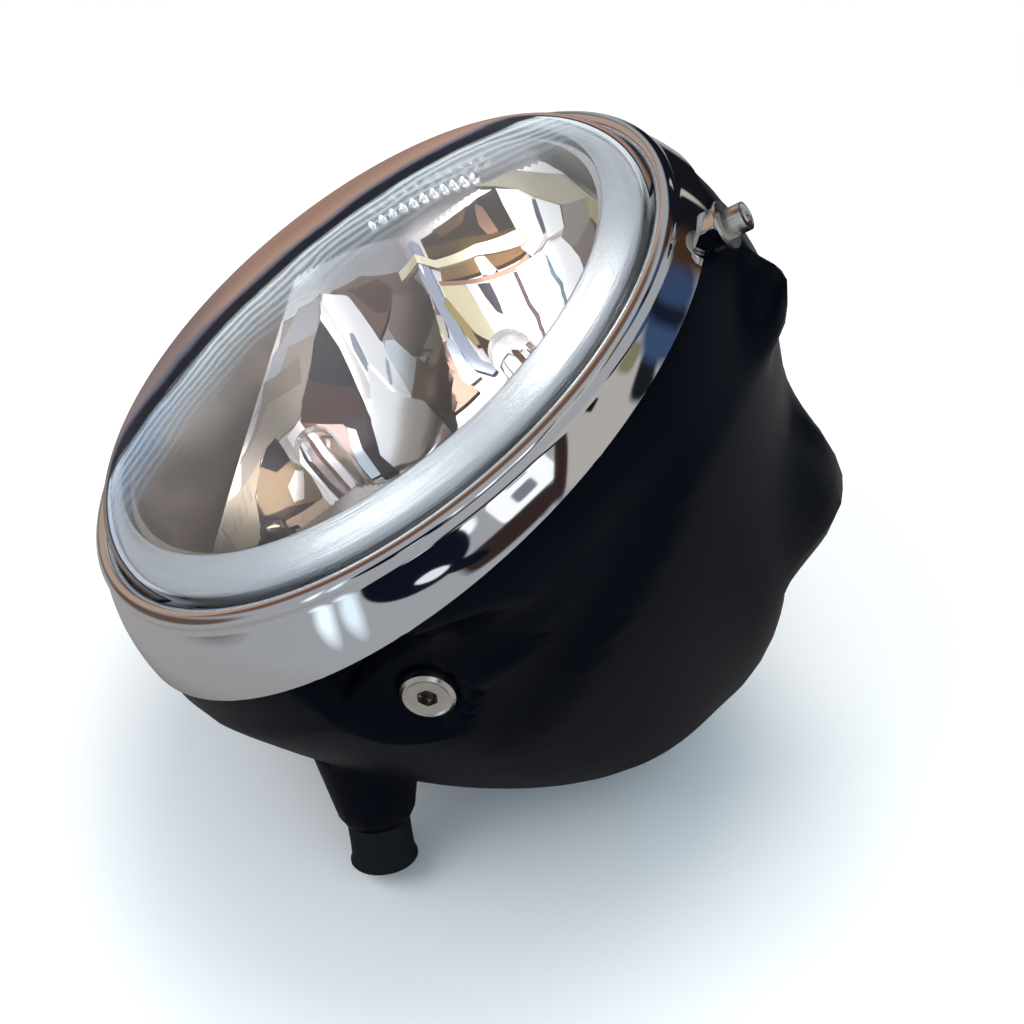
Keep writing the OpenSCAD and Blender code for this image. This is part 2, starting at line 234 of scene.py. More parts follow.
def newGroup(name, inputs, outputs):
    group = bpy.data.node_groups.new(name, "ShaderNodeTree")
    for label, kind, default in inputs:
        socket = group.interface.new_socket(name=label, in_out="INPUT", socket_type=kind)
        if default is not None:
            socket.default_value = default
    for label, kind in outputs:
        group.interface.new_socket(name=label, in_out="OUTPUT", socket_type=kind)
    return group, group.nodes.new("NodeGroupInput"), group.nodes.new("NodeGroupOutput")


def link(tree, a, b):
    tree.links.new(a, b)


def math2(tree, operation, a, b=None, clamp=False):
    node = tree.nodes.new("ShaderNodeMath")
    node.operation = operation
    node.use_clamp = clamp
    for i, value in enumerate((a, b)):
        if value is None:
            continue
        if isinstance(value, (int, float)):
            node.inputs[i].default_value = value
        else:
            link(tree, value, node.inputs[i])
    return node.outputs[0]


# fine surface grain: a height and a slow patchiness, both from the piece's own coordinates
def buildGrainGroup():
    group, start, end = newGroup("surfaceGrain", [
        ("Grain Scale", "NodeSocketFloat", 900.0),
        ("Patch Scale", "NodeSocketFloat", 14.0),
    ], [("Height", "NodeSocketFloat"), ("Patches", "NodeSocketFloat")])
    place = group.nodes.new("ShaderNodeTexCoord")
    fine = group.nodes.new("ShaderNodeTexNoise")
    fine.inputs["Detail"].default_value = 3
    slow = group.nodes.new("ShaderNodeTexNoise")
    slow.inputs["Detail"].default_value = 4
    for noise, label in ((fine, "Grain Scale"), (slow, "Patch Scale")):
        link(group, place.outputs["Object"], noise.inputs["Vector"])
        link(group, start.outputs[label], noise.inputs["Scale"])
    link(group, fine.outputs["Fac"], end.inputs["Height"])
    link(group, slow.outputs["Fac"], end.inputs["Patches"])
    return group


# rings round the lamp's axis, as turned and brushed metal has
def buildRingGroup():
    group, start, end = newGroup("turnedRings", [
        ("Across", "NodeSocketFloat", 1500.0),
        ("Along", "NodeSocketFloat", 6.0),
    ], [("Height", "NodeSocketFloat")])
    place = group.nodes.new("ShaderNodeTexCoord")
    parts = group.nodes.new("ShaderNodeSeparateXYZ")
    link(group, place.outputs["Object"], parts.inputs[0])
    x, y, z = parts.outputs
    radius = math2(group, "SQRT", math2(group, "ADD", math2(group, "MULTIPLY", x, x),
                                        math2(group, "MULTIPLY", z, z)))
    angle = math2(group, "ARCTAN2", z, x)
    pack = group.nodes.new("ShaderNodeCombineXYZ")
    across = math2(group, "ADD", radius, math2(group, "MULTIPLY", y, 0.7))
    link(group, math2(group, "MULTIPLY", across, start.outputs["Across"]), pack.inputs[0])
    link(group, math2(group, "MULTIPLY", angle, start.outputs["Along"]), pack.inputs[1])
    noise = group.nodes.new("ShaderNodeTexNoise")
    noise.inputs["Scale"].default_value = 1.0
    noise.inputs["Detail"].default_value = 3
    link(group, pack.outputs[0], noise.inputs["Vector"])
    link(group, noise.outputs["Fac"], end.inputs["Height"])
    return group


# a soft rectangle of the room, for what the polished metal mirrors
def buildPatchGroup():
    group, start, end = newGroup("roomPatch", [
        ("Direction", "NodeSocketVector", None),
        ("Toward", "NodeSocketVector", None),
        ("Sideways", "NodeSocketVector", None),
        ("Half Width", "NodeSocketFloat", 0.2),
        ("Half Height", "NodeSocketFloat", 0.2),
        ("Soft", "NodeSocketFloat", 0.1),
        ("Squareness", "NodeSocketFloat", 6.0),
    ], [("Mask", "NodeSocketFloat")])

    def dot(a, b):
        node = group.nodes.new("ShaderNodeVectorMath")
        node.operation = "DOT_PRODUCT"
        link(group, a, node.inputs[0])
        link(group, b, node.inputs[1])
        return node.outputs["Value"]

    cross = group.nodes.new("ShaderNodeVectorMath")
    cross.operation = "CROSS_PRODUCT"
    link(group, start.outputs["Toward"], cross.inputs[0])
    link(group, start.outputs["Sideways"], cross.inputs[1])
    depth = dot(start.outputs["Direction"], start.outputs["Toward"])
    u = math2(group, "DIVIDE", dot(start.outputs["Direction"], start.outputs["Sideways"]), depth)
    v = math2(group, "DIVIDE", dot(start.outputs["Direction"], cross.outputs[0]), depth)

    def share(value, label):
        ratio = math2(group, "DIVIDE", math2(group, "ABSOLUTE", value), start.outputs[label])
        return math2(group, "POWER", ratio, start.outputs["Squareness"])

    total = math2(group, "ADD", share(u, "Half Width"), share(v, "Half Height"))
    reach = math2(group, "POWER", total, math2(group, "DIVIDE", 1.0, start.outputs["Squareness"]))
    gap = math2(group, "SUBTRACT", 1.0, reach)
    both = math2(group, "ADD", math2(group, "DIVIDE", gap, start.outputs["Soft"]), 0.5, clamp=True)
    front = math2(group, "GREATER_THAN", depth, 0.0)
    link(group, math2(group, "MULTIPLY", both, front), end.inputs["Mask"])
    return group


grainGroup = buildGrainGroup()
ringGroup = buildRingGroup()
patchGroup = buildPatchGroup()


# materials

def newMaterial(name, color, metallic=0.0, roughness=0.4, **sockets):
    material = bpy.data.materials.new(name)
    material.use_nodes = True
    shader = material.node_tree.nodes["Principled BSDF"]
    shader.inputs["Base Color"].default_value = (*color, 1)
    shader.inputs["Metallic"].default_value = metallic
    shader.inputs["Roughness"].default_value = roughness
    for key, value in sockets.items():
        shader.inputs[key.replace("_", " ")].default_value = value
    return material, material.node_tree, shader


def placeGroup(tree, group, **values):
    node = tree.nodes.new("ShaderNodeGroup")
    node.node_tree = group
    for key, value in values.items():
        node.inputs[key.replace("_", " ")].default_value = value
    return node


# a value between two limits, brought to 0..1
def limited(tree, value, low, high, kind="LINEAR"):
    node = tree.nodes.new("ShaderNodeMapRange")
    node.interpolation_type = kind
    link(tree, value, node.inputs["Value"])
    node.inputs["From Min"].default_value = low
    node.inputs["From Max"].default_value = high
    return node


noiseRange = (0.3, 0.7)     # most of a noise texture's values lie in here


def spread(tree, value, low, high):
    node = limited(tree, value, *noiseRange)
    node.inputs["To Min"].default_value = low
    node.inputs["To Max"].default_value = high
    return node.outputs["Result"]


def addBump(tree, shader, height, strength, distance):
    bump = tree.nodes.new("ShaderNodeBump")
    bump.inputs["Strength"].default_value = strength
    bump.inputs["Distance"].default_value = distance
    link(tree, height, bump.inputs["Height"])
    link(tree, bump.outputs["Normal"], shader.inputs["Normal"])


# a and b may each be a colour or a socket
def mixColors(tree, factor, a, b, kind="MIX"):
    node = tree.nodes.new("ShaderNodeMix")
    node.data_type = "RGBA"
    node.blend_type = kind
    link(tree, factor, node.inputs["Factor"])
    for value, socket in ((a, node.inputs["A"]), (b, node.inputs["B"])):
        if isinstance(value, tuple):
            socket.default_value = (*value, 1)
        else:
            link(tree, value, socket)
    return node.outputs["Result"]


def mixShaders(tree, factor, a, b):
    node = tree.nodes.new("ShaderNodeMixShader")
    for value, socket in zip((factor, a, b), node.inputs):
        link(tree, value, socket)
    return node.outputs[0]


def grainMaterial(name, dark, light, metallic, rough, grain, strength, patch=14.0, **sockets):
    material, tree, shader = newMaterial(name, light, metallic, rough[0], **sockets)
    look = placeGroup(tree, grainGroup, Grain_Scale=grain, Patch_Scale=patch)
    link(tree, mixColors(tree, spread(tree, look.outputs["Patches"], 0, 1), dark, light),
         shader.inputs["Base Color"])
    link(tree, spread(tree, look.outputs["Patches"], *rough), shader.inputs["Roughness"])
    addBump(tree, shader, look.outputs["Height"], strength, 0.0002)
    return material


housingPlastic = grainMaterial("satinBlackPlastic", (0.0006, 0.0012, 0.0032), (0.0012, 0.0022, 0.0055), 0.0,
                               (0.30, 0.38), 2600, 0.04, 22, IOR=1.28, Specular_IOR_Level=0.22,
                               Specular_Tint=(0.72, 0.86, 1.0, 1.0))
sleeveRubber = grainMaterial("blackRubber", (0.004, 0.005, 0.008), (0.008, 0.010, 0.015), 0.0,
                             (0.5, 0.62), 1800, 0.12,
                             IOR=1.35, Specular_IOR_Level=0.3)
sealRubber = grainMaterial("sealRubber", (0.16, 0.17, 0.19), (0.24, 0.25, 0.28), 0.0, (0.5, 0.6), 1500, 0.1)
screwSteel = grainMaterial("screwSteel", (0.72, 0.70, 0.66), (0.84, 0.82, 0.78), 1.0, (0.16, 0.26),
                           1200, 0.05, 120)
springSteel = grainMaterial("springSteel", (0.5, 0.5, 0.5), (0.62, 0.62, 0.62), 1.0, (0.25, 0.4), 1500,
                            0.06, 60)
darkSteel = grainMaterial("darkSteel", (0.02, 0.02, 0.022), (0.035, 0.035, 0.04), 1.0, (0.45, 0.6),
                          1500, 0.06, 60)
bulbMetal = grainMaterial("bulbMetal", (0.20, 0.18, 0.16), (0.30, 0.28, 0.25), 1.0, (0.25, 0.35), 1500,
                          0.05, 60)
brassMetal = grainMaterial("insertBrass", (0.5, 0.4, 0.2), (0.64, 0.52, 0.3), 1.0, (0.3, 0.4), 1200, 0.05, 60)
plugPlastic = grainMaterial("plugPlastic", (0.03, 0.03, 0.03), (0.05, 0.05, 0.05), 0.0, (0.5, 0.6), 1800, 0.1)
nutPlastic = grainMaterial("nutPlastic", (0.72, 0.7, 0.62), (0.8, 0.78, 0.7), 0.0, (0.45, 0.55), 1800, 0.1)


chrome = grainMaterial("polishedChrome", (0.76, 0.77, 0.79), (0.82, 0.83, 0.85), 1.0, (0.03, 0.06),
                       300, 0.004, 9)


# distance from an axis of the lamp, brought to 0..1 between two radii
def axisDistance(tree, axes, low, high):
    place = tree.nodes.new("ShaderNodeTexCoord")
    flat = tree.nodes.new("ShaderNodeVectorMath")
    flat.operation = "MULTIPLY"
    link(tree, place.outputs["Object"], flat.inputs[0])
    flat.inputs[1].default_value = axes
    radius = tree.nodes.new("ShaderNodeVectorMath")
    radius.operation = "LENGTH"
    link(tree, flat.outputs[0], radius.inputs[0])
    return limited(tree, radius.outputs["Value"], low * mm, high * mm).outputs["Result"]


# the head's face is bright; its hexagon socket gets painted shade, a dark colour inside
def sideSteelMaterial():
    material = grainMaterial("sideSteel", (0.60, 0.57, 0.52), (0.74, 0.70, 0.64), 1.0, (0.18, 0.28),
                             1400, 0.12, 160)
    tree = material.node_tree
    color = tree.nodes["Principled BSDF"].inputs["Base Color"]
    socketShadeEdge = axisDistance(tree, (0, 1, 1), 2.45, 2.75)
    # painted shade: the socket's inside is coloured dark
    link(tree, mixColors(tree, socketShadeEdge, (0.10, 0.09, 0.08), color.links[0].from_socket), color)
    return material


def satinMaterial():
    material, tree, shader = newMaterial("satinAluminium", (0.48, 0.52, 0.56), 1.0, 0.34)
    rings = placeGroup(tree, ringGroup, Across=2600.0, Along=5.0)
    look = placeGroup(tree, grainGroup, Grain_Scale=1500.0, Patch_Scale=30.0)
    link(tree, spread(tree, rings.outputs["Height"], 0.34, 0.5), shader.inputs["Roughness"])
    height = math2(tree, "ADD", rings.outputs["Height"], math2(tree, "MULTIPLY", look.outputs["Height"], 0.7))
    addBump(tree, shader, height, 0.5, 0.0002)
    return material


def glassMaterial(name, color):
    material, tree, shader = newMaterial(name, color, 0.0, 0.0, Transmission_Weight=1.0, IOR=1.46,
                                         Specular_IOR_Level=0.14)
    look = placeGroup(tree, grainGroup, Grain_Scale=60.0, Patch_Scale=9.0)
    addBump(tree, shader, look.outputs["Patches"], 0.015, 0.0005)
    return material


# the mirror coat: each piece of the reflector brings its own roughness and a tone, which on the bowls, facets
# and mouth wall is painted reflection
def mirrorMaterial():
    material, tree, shader = newMaterial("mirrorCoat", (0.8, 0.8, 0.8), 1.0, 0.09)
    tone = tree.nodes.new("ShaderNodeAttribute")
    tone.attribute_name = "tone"
    rough = tree.nodes.new("ShaderNodeAttribute")
    rough.attribute_name = "rough"
    look = placeGroup(tree, grainGroup, Grain_Scale=700.0, Patch_Scale=40.0)
    link(tree, tone.outputs["Color"], shader.inputs["Base Color"])
    link(tree, tone.outputs["Color"], shader.inputs["Specular Tint"])   # painted dark reflections stay dark edge on
    link(tree, rough.outputs["Fac"], shader.inputs["Roughness"])
    addBump(tree, shader, look.outputs["Patches"], 0.006, 0.0005)
    return material


sideSteel = sideSteelMaterial()
satinMetal = satinMaterial()
lensGlass = glassMaterial("lensGlass", (0.97, 0.985, 1.0))
bulbGlass = glassMaterial("bulbGlass", (0.95, 0.97, 1.0))
mirrorCoat = mirrorMaterial()


# painted reflection: seen almost edge on, the thick glass gets pale streaks, a dark line and a tan band
# painted into its colour, in place of the room it mirrors
paintedGlassEdge = dict(
    stops=[   # how edge on, then colour and cover
        (0.59, (0.38, 0.46, 0.52, 0.0)), (0.65, (0.42, 0.50, 0.56, 0.5)), (0.715, (0.62, 0.68, 0.72, 0.85)),
        (0.724, (0.006, 0.008, 0.016, 0.97)), (0.755, (0.004, 0.005, 0.010, 0.97)),
        (0.768, (0.15, 0.13, 0.16, 0.97)), (0.785, (0.34, 0.21, 0.155, 0.97)),
        (0.83, (0.27, 0.145, 0.10, 0.97)),
    ],
    streaksEnd=0.722, streakCount=330.0, streakDepth=0.4,
    wobble=0.05, streakWobble=1.6,
    coolFrom=44, coolTo=62, coolTint=(0.60, 0.70, 0.86),     # painted reflection bluer above this height, mm
)


def addPaintedGlassEdge(material):
    tree = material.node_tree
    weight = tree.nodes.new("ShaderNodeLayerWeight")
    edgeOn = weight.outputs["Facing"]
    look = placeGroup(tree, grainGroup, Grain_Scale=200.0, Patch_Scale=26.0)
    patches = math2(tree, "SUBTRACT", look.outputs["Patches"], 0.5)
    wobble = math2(tree, "MULTIPLY", patches, paintedGlassEdge["wobble"])
    ramp = tree.nodes.new("ShaderNodeValToRGB")
    link(tree, math2(tree, "ADD", edgeOn, wobble), ramp.inputs["Fac"])
    stops = paintedGlassEdge["stops"]
    while len(ramp.color_ramp.elements) < len(stops):
        ramp.color_ramp.elements.new(0.5)
    for element, (position, color) in zip(ramp.color_ramp.elements, stops):
        element.position = position
        element.color = color
    place = tree.nodes.new("ShaderNodeTexCoord")
    axes = tree.nodes.new("ShaderNodeSeparateXYZ")
    link(tree, place.outputs["Object"], axes.inputs[0])
    height = limited(tree, axes.outputs["Z"], paintedGlassEdge["coolFrom"] * mm, paintedGlassEdge["coolTo"] * mm)
    # the painted reflection's colours go into a dull shader laid over the glass
    rim = tree.nodes.new("ShaderNodeBsdfPrincipled")
    rim.inputs["Roughness"].default_value = 0.3
    rim.inputs["Specular IOR Level"].default_value = 0.05
    tint = mixColors(tree, height.outputs["Result"], ramp.outputs["Color"], paintedGlassEdge["coolTint"], "MULTIPLY")
    link(tree, tint, rim.inputs["Base Color"])
    geometry = tree.nodes.new("ShaderNodeNewGeometry")
    front = math2(tree, "SUBTRACT", 1.0, geometry.outputs["Backfacing"])
    warped = math2(tree, "ADD", edgeOn, math2(tree, "MULTIPLY", wobble, paintedGlassEdge["streakWobble"]))
    waves = math2(tree, "SINE", math2(tree, "MULTIPLY", warped, paintedGlassEdge["streakCount"]))
    depth = paintedGlassEdge["streakDepth"]
    streaks = math2(tree, "ADD", math2(tree, "MULTIPLY", waves, depth), 1 - depth)
    solid = math2(tree, "GREATER_THAN", edgeOn, paintedGlassEdge["streaksEnd"])
    share = math2(tree, "MULTIPLY", ramp.outputs["Alpha"], math2(tree, "MAXIMUM", streaks, solid))
    surface = tree.nodes["Material Output"].inputs["Surface"]
    glass = surface.links[0].from_socket
    link(tree, mixShaders(tree, math2(tree, "MULTIPLY", share, front), glass, rim.outputs[0]), surface)


addPaintedGlassEdge(lensGlass)
print("materials made")

# trim ring

ring = dict(
    skirtRadius=100.0,      # at the rear edge
    arc=47.8,               # radius of the skirt's curve
    arcDepth=26.2,          # depth of the curve's middle
    thickness=1.1,
    beadRing=91.0,          # circle the bead is centred on
    bead=2.9,
    beadDepth=1.2,
    edgeDepth=18.7,         # rear edge in the middle of the lamp
    lean=4.7,               # degrees, deeper at the top
    steps=288,
    tabX=3.5, tabZ=-101.0, tabWidth=8.8, tabFront=7.6, tabRear=15.9, tabThick=1.0, tabStep=4.9,
)


def box(name, low, high, bevel):
    clearSelection()
    middle = [(a + b) / 2 * mm for a, b in zip(low, high)]
    bpy.ops.mesh.primitive_cube_add(size=1, location=middle)
    obj = added(name)
    obj.scale = [(b - a) * mm for a, b in zip(low, high)]
    applyPlace(obj)
    return withModifier(obj, "BEVEL", width=bevel * mm, segments=3, limit_method="ANGLE")


# the screw tab: a strip that steps down from the skirt's rear edge and carries the screw
def buildTab():
    half, thick, top = ring["tabWidth"] / 2, ring["tabThick"], ring["tabZ"]
    left, right = ring["tabX"] - half, ring["tabX"] + half
    front, rear = (beadY / mm + ring[key] for key in ("tabFront", "tabRear"))
    plate = box("tabPlate", (left, front, top - thick), (right, rear, top), 0.3)
    riser = box("tabRiser", (left, front, top - 0.8), (right, front + thick, top + ring["tabStep"]), 0.3)
    return joined("ringTab", [plate, riser])


def buildTrimRing():
    middle = ring["skirtRadius"] - ring["arc"]
    outer = [(middle + math.sqrt(ring["arc"] ** 2 - (ring["arcDepth"] - d) ** 2), d)
             for d in [2.6 + i * 1.15 for i in range(26)]]
    bead = arcPoints(ring["beadRing"], ring["beadDepth"], ring["bead"], 150, 372, 28)
    profile = [(bead[0][0], bead[0][1] + 2.2)] + bead + outer
    shell = turned("trimRing", profile, ring["steps"])
    makeActive(shell)
    editMode()
    bpy.ops.mesh.select_all(action="SELECT")
    lean = math.radians(ring["lean"])
    bpy.ops.mesh.bisect(plane_co=(0, beadY + ring["edgeDepth"] * mm, 0),
                        plane_no=(0, math.cos(lean), -math.sin(lean)), clear_outer=True)
    objectMode()
    withModifier(shell, "SOLIDIFY", thickness=ring["thickness"] * mm, offset=-1)
    shell = joined("trimRing", [shell, buildTab()])
    smoothShade(shell, 35)
    return finishPiece(shell, chrome, "chrome", "trim_ring")


buildTrimRing()
print("trim ring built")

# lens and bezel

lens = dict(
    radius=87.7, thickness=2.6,
    rise=22.0, dome=284.0,               # height and curve of the dome
    shoulder=9.0, shoulderDepth=-1.5,    # curve between dome and rim
    rimRadius=91.0, rimFront=4.0, rimDepth=6.0,
    steps=256,
)


# points on the dome and its shoulder, a given depth inside the outer face
def lensProfile(cut):
    middle = lens["radius"] - lens["shoulder"]
    edge = math.degrees(math.asin(middle / (lens["dome"] - lens["shoulder"])))

    def arc(across, depth, radius, degrees):
        turn = math.radians(degrees)
        return across + (radius - cut) * math.sin(turn), depth - (radius - cut) * math.cos(turn)

    dome = [arc(0, lens["dome"] - lens["rise"], lens["dome"], edge * i / 24) for i in range(25)]
    shoulder = [arc(middle, lens["shoulderDepth"], lens["shoulder"], edge + (90 - edge) * i / 14)
                for i in range(1, 15)]
    return dome + shoulder


def buildLens():
    outer = lensProfile(0)
    inner = lensProfile(lens["thickness"])
    wide, front, rear = lens["rimRadius"], lens["rimFront"], lens["rimDepth"]
    rim = [(lens["radius"], front - 0.4), (lens["radius"] + 0.4, front), (wide, front), (wide, rear),
           (inner[-1][0], rear)]
    obj = turned("lens", outer + rim + list(reversed(inner)), lens["steps"], smooth=50)
    return finishPiece(obj, lensGlass, "lens_glass", "lens")


bezel = dict(
    profile=[(83.2, 7.5), (84.6, 7.5), (84.8, 3.0), (84.8, 0.2), (84.7, -1.2), (84.3, -2.4), (83.5, -3.3),
             (81.0, -5.2), (78.6, -7.0), (77.8, -7.5), (77.4, -7.6), (77.2, -7.4), (77.2, -6.6), (77.8, -6.1),
             (79.2, -5.0), (81.2, -3.5), (82.5, -1.6), (83.2, 3.0)],
    steps=256,
)


def buildBezel():
    obj = turned("bezel", bezel["profile"], bezel["steps"], closed=True, smooth=60)
    return finishPiece(obj, satinMetal, "satin_ring", "bezel")


buildLens()
buildBezel()
print("lens and bezel built")

# reflector

reflector = dict(
    mouthRadius=74.9,
    upper=dict(z=33.0, back=50.0, focus=21.0),
    lower=dict(z=-33.0, back=48.0, focus=20.0),
    columns=216, rings=72,
    lift=0.35, liftStep=0.03, facetThick=1.2,     # each facet lies a little in front of the last
    wallFront=-5.4, wallThick=2.0, wallRear=30.0,
    flangeRadius=90.8, flangeDepth=7.5,
)


def bowlDepth(bowl, x, z):
    return bowl["back"] - (x * x + (z - bowl["z"]) ** 2) / (4 * bowl["focus"])


def dishDepth(x, z):
    return max(bowlDepth(reflector["upper"], x, z), bowlDepth(reflector["lower"], x, z), 2.0)


# gives each vertex a mirror tone and a roughness; on the bowls, facets and mouth wall the tone is painted
# reflection
def withTone(obj, toneAt, rough):
    mesh = obj.data
    mesh.attributes.new("tone", "FLOAT_COLOR", "POINT")
    mesh.attributes.new("rough", "FLOAT", "POINT")
    colors = []
    for v in mesh.vertices:
        tone = toneAt(v.co.x / mm, v.co.z / mm) if callable(toneAt) else toneAt
        colors += [*tone, 1.0]
    mesh.attributes["tone"].data.foreach_set("color", colors)
    mesh.attributes["rough"].data.foreach_set("value", [rough] * len(mesh.vertices))
    return obj


def blend(a, b, t):
    t = max(0.0, min(1.0, t))
    return tuple(p + (q - p) * t for p, q in zip(a, b))


# painted reflection: the upper bowl darker and browner, the lower bowl lighter, both lighter toward +x
def dishPaintedReflection(x, z):
    upperPaintedReflection = blend((0.29, 0.25, 0.22), (0.40, 0.41, 0.44), (x + 10) / 70)
    lowerPaintedReflection = blend((0.62, 0.58, 0.56), (0.86, 0.80, 0.79), (x + 20) / 60)
    return blend(lowerPaintedReflection, upperPaintedReflection, (z + 3) / 6)


# both bowls as one skin; each is deepest behind its bulb and they meet in a ridge
def buildDishes():
    columns, rings = reflector["columns"], reflector["rings"]
    clearSelection()
    bpy.ops.mesh.primitive_grid_add(x_subdivisions=columns, y_subdivisions=rings, size=2)
    obj = added("dishes")
    for v in obj.data.vertices:
        angle = (v.co.x + 1) * math.pi
        r = reflector["mouthRadius"] * (v.co.y + 1) / 2
        x, z = r * math.cos(angle), r * math.sin(angle)
        v.co = (x * mm, beadY + dishDepth(x, z) * mm, z * mm)
    makeActive(obj)
    editMode()
    bpy.ops.mesh.select_all(action="SELECT")
    bpy.ops.mesh.remove_doubles(threshold=0.00002)
    objectMode()
    return withTone(obj, dishPaintedReflection, 0.24)


